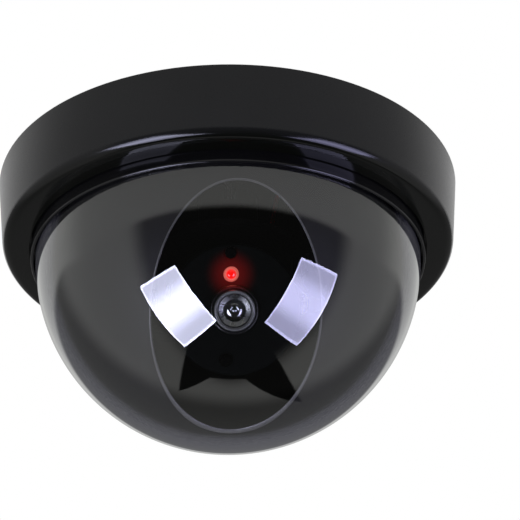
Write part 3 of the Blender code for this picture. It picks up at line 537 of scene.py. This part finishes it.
def dome_bezel():
    """The glossy inner ring. Its flange is notched where the ring's lugs pass."""
    flange = LIP_TOP + GAP
    bezel = turned(rounded([(BEZEL_FLANGE, BEZEL_TOP, 0.2), (BEZEL_FLANGE, flange, 0.2),
                            (COLLAR_RADIUS, flange, 0.0), (COLLAR_RADIUS, COLLAR_BOTTOM, 0.35),
                            (COLLAR_BORE, COLLAR_BOTTOM, 0.2), (COLLAR_BORE, DOME_SEAT, 0.0),
                            (DOME_FLANGE + GAP, DOME_SEAT, 0.0), (DOME_FLANGE + GAP, BEZEL_TOP, 0.2)], 6))
    for angle in LUG_ANGLES:
        cut(bezel, sector(NOTCH_RADIUS, RING_RADIUS, angle, NOTCH_HALF_ANGLE, flange - 0.1, BEZEL_TOP + 1.0))
    piece("dome_bezel_fine", bezel, "gloss_black", "cover", "dome_bezel")


def dome_window():
    centre = (0.0, DOME_CENTRE)
    inner = DOME_RADIUS - DOME_WALL
    flange = DOME_TOP - DOME_FLANGE_THICKNESS
    outline = [*arc(centre, DOME_RADIUS, -90.0, 0.0, 64), (DOME_RADIUS, flange), (DOME_FLANGE, flange),
               (DOME_FLANGE, DOME_TOP), (inner, DOME_TOP), *arc(centre, inner, 0.0, -90.0, 64)]
    piece("dome_window_fine", turned(outline, 192), "clear_dome", "cover", "dome_window")


def inner_liner():
    centre = (0.0, DOME_CENTRE)
    inner = LINER_RADIUS - LINER_WALL
    bowl = turned([*arc(centre, LINER_RADIUS, -90.0, 0.0, 40), (LINER_RADIUS, LINER_TOP),
                   (inner, LINER_TOP), *arc(centre, inner, 0.0, -90.0, 40)], 120)
    for angle in TAB_ANGLES:
        joined(bowl, sector(TAB_RADIUS, inner + TAB_ROOT, angle, TAB_HALF_ANGLE, TAB_BOTTOM, LINER_TAB_TOP))
        cut(bowl, rod(SCREW_HOLE, -22.0, -17.0, 16, on_circle(LINER_SCREW_CIRCLE, angle)))
    turns = [math.tau * i / OVAL_STEPS for i in range(OVAL_STEPS)]
    oval = [(OPENING_HALF_WIDTH * math.cos(turn), OPENING_HALF_HEIGHT * math.sin(turn)) for turn in turns]
    cut(bowl, moved(prism(oval, 5.0, 60.0), HEAD_FRAME))
    piece("inner_liner_fine", bowl, "liner_grey", "pan", "inner_liner")


def opening_bead():
    """The rolled edge of the liner's oval, wider at the bottom, where the cut edge turns to the front. Its
    grey is much lighter than the liner's: a painted highlight along the edge.
    """
    centre = HEAD_FRAME.inverted() @ Vector((0.0, 0.0, DOME_CENTRE))
    reach = LINER_RADIUS - 0.25
    path = []
    lowness = [max(0.0, -math.sin(math.tau * i / OVAL_STEPS)) ** 3 for i in range(OVAL_STEPS)]
    for i in range(OVAL_STEPS):
        x = (OPENING_HALF_WIDTH + 0.1) * math.cos(math.tau * i / OVAL_STEPS)
        y = (OPENING_HALF_HEIGHT + 0.1 - BEAD_LOW_SHIFT * lowness[i]) * math.sin(math.tau * i / OVAL_STEPS)
        path.append(Vector((x, y, centre.z + math.sqrt(reach ** 2 - x ** 2 - (y - centre.y) ** 2))))
    bm = bmesh.new()
    rings = []
    for i, point in enumerate(path):
        along = (path[(i + 1) % OVAL_STEPS] - path[i - 1]).normalized()
        outward = (point - centre).normalized()
        across = along.cross(outward).normalized()
        painted_shade_fade = BEAD_RADIUS + BEAD_LOW_HEIGHT * lowness[i]
        width = BEAD_RADIUS + BEAD_LOW_WIDTH * lowness[i]
        rings.append([bm.verts.new(point + painted_shade_fade * math.cos(math.tau * k / BEAD_SIDES) * outward
                                   + width * math.sin(math.tau * k / BEAD_SIDES) * across)
                      for k in range(BEAD_SIDES)])
    for ring, following in zip(rings, rings[1:] + rings[:1]):
        for k in range(BEAD_SIDES):
            after = (k + 1) % BEAD_SIDES
            bm.faces.new((ring[k], ring[after], following[after], following[k]))
    # a grey much lighter than the liner's: a painted highlight along the oval's edge
    painted_highlight_material = moulded("liner_edge", (0.060, 0.060, 0.057), 0.35, 1500.0, 0.05)
    piece("inner_liner_edge", object_of(bm), "liner_grey", "pan", material=painted_highlight_material, in_head=True)


def face_plate():
    plate = turned(rounded([(0.0, FACE_BACK, 0.0), (HEAD_FRONT_RADIUS, FACE_BACK, 0.15),
                            (HEAD_FRONT_RADIUS, FACE_FRONT, 0.6), (0.0, FACE_FRONT, 0.0)], 5), MEDIUM * 2)
    for side in (-1, 1):
        joined(plate, rod(POST_RADIUS, POST_BACK, FACE_BACK + 0.5, 24, (side * POST_X, 0.0)))
    cut(plate, rod(HOLDER_RADIUS + GAP, FACE_BACK - 5.0, FACE_FRONT + 1.0, MEDIUM),
        rod(LAMP_RADIUS + 0.12, FACE_BACK - 1.0, FACE_FRONT + 1.0, SMALL, LED_AT))
    for at in FACE_SCREWS.values():
        cut(plate, rod(SCREW_SINK, FACE_FRONT - SCREW_SINK_DEPTH, FACE_FRONT + 1.0, SMALL, at),
            rod(SCREW_HOLE, FACE_BACK - 1.0, FACE_FRONT + 1.0, 20, at))
    black = moulded("face_black", (0.0003, 0.0006, 0.0005), 0.55, 1800.0, 0.08, specular=0.015)
    piece("face_plate_fine", plate, "inner_black", "head", "face_plate", red_glow(black, 0.09), in_head=True)


def lens_holder():
    holder = turned(rounded([(HOLDER_RADIUS, HOLDER_BACK, 0.2), (HOLDER_RADIUS, HOLDER_FRONT, 0.4),
                             (BARREL_RADIUS + GAP, HOLDER_FRONT, 0.15),
                             (BARREL_RADIUS + GAP, HOLDER_BACK, 0.2)], 4), MEDIUM * 2)
    for side in (-1, 1):
        ear = block(sorted((side * (HOLDER_RADIUS - 0.25), side * EAR_REACH)), (-2.0, 2.0),
                    (EAR_BACK, EAR_FRONT))
        cut(ear, rod(SCREW_HOLE, EAR_BACK - 1.05, EAR_FRONT + 0.5, 20, (side * POST_X, 0.0)))
        joined(holder, ear)
    black = moulded("holder_black", (0.004, 0.004, 0.004), 0.25, 2500.0, 0.04, specular=0.4)
    piece("lens_holder_fine", holder, "lens_black", "head", "lens_holder", red_glow(black, 0.10),
          in_head=True)


def lens_barrel():
    shoulder = BARREL_FRONT - 0.5
    barrel = turned(rounded([(BARREL_RADIUS, BARREL_BACK, 0.3), (BARREL_RADIUS, shoulder, 0.2),
                             (BARREL_RIM_RADIUS, BARREL_FRONT, 0.12), (4.7, BARREL_FRONT, 0.12),
                             (BARREL_POCKET, shoulder, 0.1), (BARREL_POCKET, BARREL_SEAT, 0.0),
                             (BARREL_BORE, BARREL_SEAT, 0.0), (BARREL_BORE, BARREL_BACK, 0.0)], 3),
                    MEDIUM * 2)
    piece("lens_barrel_fine", barrel, "lens_black", "head", "lens_barrel", in_head=True)


def lens_retainer():
    """The metal ring that holds the front glass, with four turned grooves across its front."""
    back, front, bore = 28.72, 29.25, 2.9
    outline = [(GLASS_RADIUS, back), (GLASS_RADIUS, front)]
    for k in range(4):
        outer = GLASS_RADIUS - 0.27 * k
        outline += [(outer - 0.04, 29.28), (outer - 0.25, 29.16)]
    outline += [(bore, 29.2), (bore - 0.04, 28.8), (bore, back)]
    piece("lens_retainer_fine", turned(outline, MEDIUM * 2), "lens_black", "head", "lens_retainer",
          metal("lens_rings", (0.30, 0.31, 0.30), 0.26), in_head=True, sharp=25.0)


def lens_glass_front():
    """The front glass. Its ripples stand for the inner elements, whose rims show through as rings."""
    steps = 80
    bulge = []
    for i in range(steps + 1):
        r = GLASS_RADIUS * i / steps
        ripple = GLASS_RIPPLE * math.cos(math.tau * r / GLASS_RIPPLE_PITCH)
        bulge.append((r, GLASS_TOP - GLASS_CROWN * (r / GLASS_RADIUS) ** 2 + ripple))
    front = turned([(0.0, GLASS_BACK), (GLASS_RADIUS, GLASS_BACK), *reversed(bulge)], MEDIUM * 2)
    piece("lens_glass_front_fine", front, "lens_glass", "head", "lens_glass_front", in_head=True)


def led():
    back = BOARD_FRONT + 1.2
    flange = LED_RADIUS + 0.4
    lamp = turned([(0.0, back), (flange, back), (flange, back + 1.0), (LAMP_RADIUS, back + 1.0),
                   *arc((0.0, LED_CENTRE), LAMP_RADIUS, 0.0, 90.0, 16)], MEDIUM, LED_AT)
    for side in (-1, 1):
        x = LED_AT[0] + side * LEAD_X
        joined(lamp, block((x - LEAD_HALF, x + LEAD_HALF), (LED_AT[1] - LEAD_HALF, LED_AT[1] + LEAD_HALF),
                           (BOARD_FRONT + GAP, back + 0.3)))
    piece("led_fine", lamp, "led_red", "head", "led", in_head=True)


# ---------------------------------------------------------------- camera, light and stage

CAMERA_DISTANCE = 0.6087
CAMERA_ELEVATION = math.radians(-31.47)
CAMERA_AZIMUTH = math.radians(-3.5)
CAMERA_ROLL = -0.015
CAMERA_LENS = 156.05
AIM_RIGHT = 0.00841
AIM_HEIGHT = -0.02094


def place_camera():
    data = bpy.data.cameras.new("camera")
    data.lens = CAMERA_LENS
    data.sensor_width = 36.0
    data.clip_start = 0.01
    data.clip_end = 50.0
    camera = bpy.data.objects.new("camera", data)
    bpy.context.scene.collection.objects.link(camera)
    level = math.cos(CAMERA_ELEVATION)
    camera.location = CAMERA_DISTANCE * Vector((math.sin(CAMERA_AZIMUTH) * level,
                                                -math.cos(CAMERA_AZIMUTH) * level,
                                                math.sin(CAMERA_ELEVATION)))
    aim = Vector((AIM_RIGHT * math.cos(CAMERA_AZIMUTH), AIM_RIGHT * math.sin(CAMERA_AZIMUTH), AIM_HEIGHT))
    looking = (aim - camera.location).to_track_quat("-Z", "Y")
    camera.rotation_euler = (looking.to_matrix() @ Matrix.Rotation(CAMERA_ROLL, 3, "Z")).to_euler()
    bpy.context.scene.camera = camera


def border_glow(data):
    """Brightens a lamp's middle and its thin border against the field between them."""
    data.use_nodes = True
    tree = data.node_tree
    split = tree.nodes.new("ShaderNodeSeparateXYZ")
    tree.links.new(tree.nodes.new("ShaderNodeNewGeometry").outputs["Parametric"], split.inputs["Vector"])
    offsets = [maths(tree, "ABSOLUTE", maths(tree, "SUBTRACT", split.outputs[axis], 0.5)) for axis in "XY"]
    field, gain = 0.60, 0.55
    middle = ranged(tree, offsets[1], 0.08, 0.36, gain, 0.0, smooth=True)
    border = ranged(tree, maths(tree, "MAXIMUM", *offsets), 0.455, 0.475, 0.0, gain, smooth=True)
    strength = maths(tree, "ADD", maths(tree, "ADD", middle, border), field)
    tree.links.new(strength, tree.nodes["Emission"].inputs["Strength"])


def softbox(name, direction, across, width, painted_shade_fade, radiance, colour):
    """A rectangular lamp a metre from the dome, facing it, and unseen by the camera itself."""
    centre = Vector((0.0, 0.0, DOME_CENTRE * MM))
    data = bpy.data.lights.new(name, "AREA")
    data.shape = "RECTANGLE"
    data.size = width
    data.size_y = painted_shade_fade
    data.energy = radiance * math.pi * width * painted_shade_fade
    data.color = colour
    border_glow(data)
    lamp = bpy.data.objects.new(name, data)
    bpy.context.scene.collection.objects.link(lamp)
    out = Vector(direction).normalized()
    side = Vector(across)
    side = (side - out * side.dot(out)).normalized()
    up = out.cross(side)
    lamp.matrix_world = Matrix.Translation(centre + out) @ Matrix((side, up, out)).transposed().to_4x4()
    lamp.visible_camera = False


def inside(tree, axes, normal, softness, reach=0.0):
    """1 for directions on a plane's positive side, 0 for the others, with a soft edge. The plane runs
    through the centre, and reach widens its positive side."""
    terms = [maths(tree, "MULTIPLY", axes[i], normal[i]) for i in range(3)]
    total = maths(tree, "ADD", maths(tree, "ADD", terms[0], terms[1]), terms[2])
    return ranged(tree, total, -softness - reach, softness - reach, 0.0, 1.0, smooth=True)


DARKNESS = 0.95
FLOOR_SIZE = 40.0
FLOOR_HEIGHT = -1.5


def world_light():
    """The studio round the object, by direction: white behind for the camera and above, pale at the sides,
    dimmer on the floor behind, and a dark area in front that narrows across the floor below."""
    world = bpy.data.worlds.new("studio")
    bpy.context.scene.world = world
    world.use_nodes = True
    tree = world.node_tree
    background = tree.nodes["Background"]
    split = tree.nodes.new("ShaderNodeSeparateXYZ")
    tree.links.new(tree.nodes.new("ShaderNodeTexCoord").outputs["Generated"], split.inputs["Vector"])
    axes = [split.outputs[axis] for axis in "XYZ"]

    front = maths(tree, "MULTIPLY", inside(tree, axes, (0.616, -0.779, -0.115), 0.13, 0.10),
                  inside(tree, axes, (-0.39, -0.83, -0.16), 0.13, 0.06))
    patch_sides = maths(tree, "MULTIPLY", inside(tree, axes, (1.0, 0.0, -0.41), 0.012),
                        inside(tree, axes, (-1.0, 0.33, -0.45), 0.012))
    patch_back = maths(tree, "MAXIMUM", inside(tree, axes, (0.0, -1.0, -0.21), 0.012),
                       maths(tree, "MAXIMUM", inside(tree, axes, (1.3, -1.0, -0.015), 0.012),
                             inside(tree, axes, (-1.3, -1.0, -0.015), 0.012)))
    below = inside(tree, axes, (0.0, 0.0, -1.0), 0.02)
    patch = maths(tree, "MULTIPLY", maths(tree, "MULTIPLY", patch_sides, patch_back), below)
    dark = maths(tree, "MULTIPLY", maths(tree, "MAXIMUM", front, patch), DARKNESS)
    lit = maths(tree, "SUBTRACT", 1.0, dark)
    lower = maths(tree, "MULTIPLY", lit, ranged(tree, axes[1], 0.35, 0.60, 0.62, 0.21, smooth=True))
    upper = ranged(tree, axes[1], 0.0, 0.45, 0.66, 1.0, smooth=True)
    horizon = ranged(tree, axes[1], 0.0, 0.5, 0.0, 0.12, smooth=True)
    share = ranged(tree, maths(tree, "SUBTRACT", axes[2], horizon), 0.02, 0.10, 0.0, 1.0, smooth=True)
    total = maths(tree, "ADD", maths(tree, "MULTIPLY", upper, share),
                  maths(tree, "MULTIPLY", lower, maths(tree, "SUBTRACT", 1.0, share)))
    path = tree.nodes.new("ShaderNodeLightPath")
    seen = maths(tree, "MAXIMUM", path.outputs["Is Camera Ray"], total)
    tree.links.new(seen, background.inputs["Strength"])
    background.inputs["Color"].default_value = (1.0, 1.0, 1.0, 1.0)


def place_floor():
    bm = bmesh.new()
    bmesh.ops.create_grid(bm, x_segments=1, y_segments=1, size=FLOOR_SIZE)
    floor = object_of(bm, "floor")
    floor.location.z = FLOOR_HEIGHT
    floor.data.materials.append(moulded("floor_pale", (0.88, 0.88, 0.88), 0.70, 20.0, 0.02, drift=0.02))
    floor.visible_glossy = False


def carry_over():
    """Gives every CAD node its slot's material. The finer pieces then stand in for some of the nodes."""
    slots = {entry["node"]: entry["material_slot"] for entry in frame["record"]["subparts"]}
    for name, node in frame["nodes"].items():
        node.data.materials.clear()
        node.data.materials.append(MATERIALS[slots[name]])


carry_over()
housing_ring()
dome_bezel()
dome_window()
inner_liner()
opening_bead()
face_plate()
lens_holder()
lens_barrel()
lens_retainer()
lens_glass_front()
led()
place_camera()
softbox("softbox_left", (-0.469, -0.407, -0.681), (-0.593, 0.802, -0.071),
        0.46, 0.71, 17.5, (0.72, 0.73, 1.0))
softbox("softbox_right", (0.590, -0.385, -0.575), (0.599, 0.796, 0.082),
        0.47, 0.75, 11.0, (0.63, 0.62, 1.0))
world_light()
place_floor()
bpy.context.scene.view_settings.view_transform = "Standard"
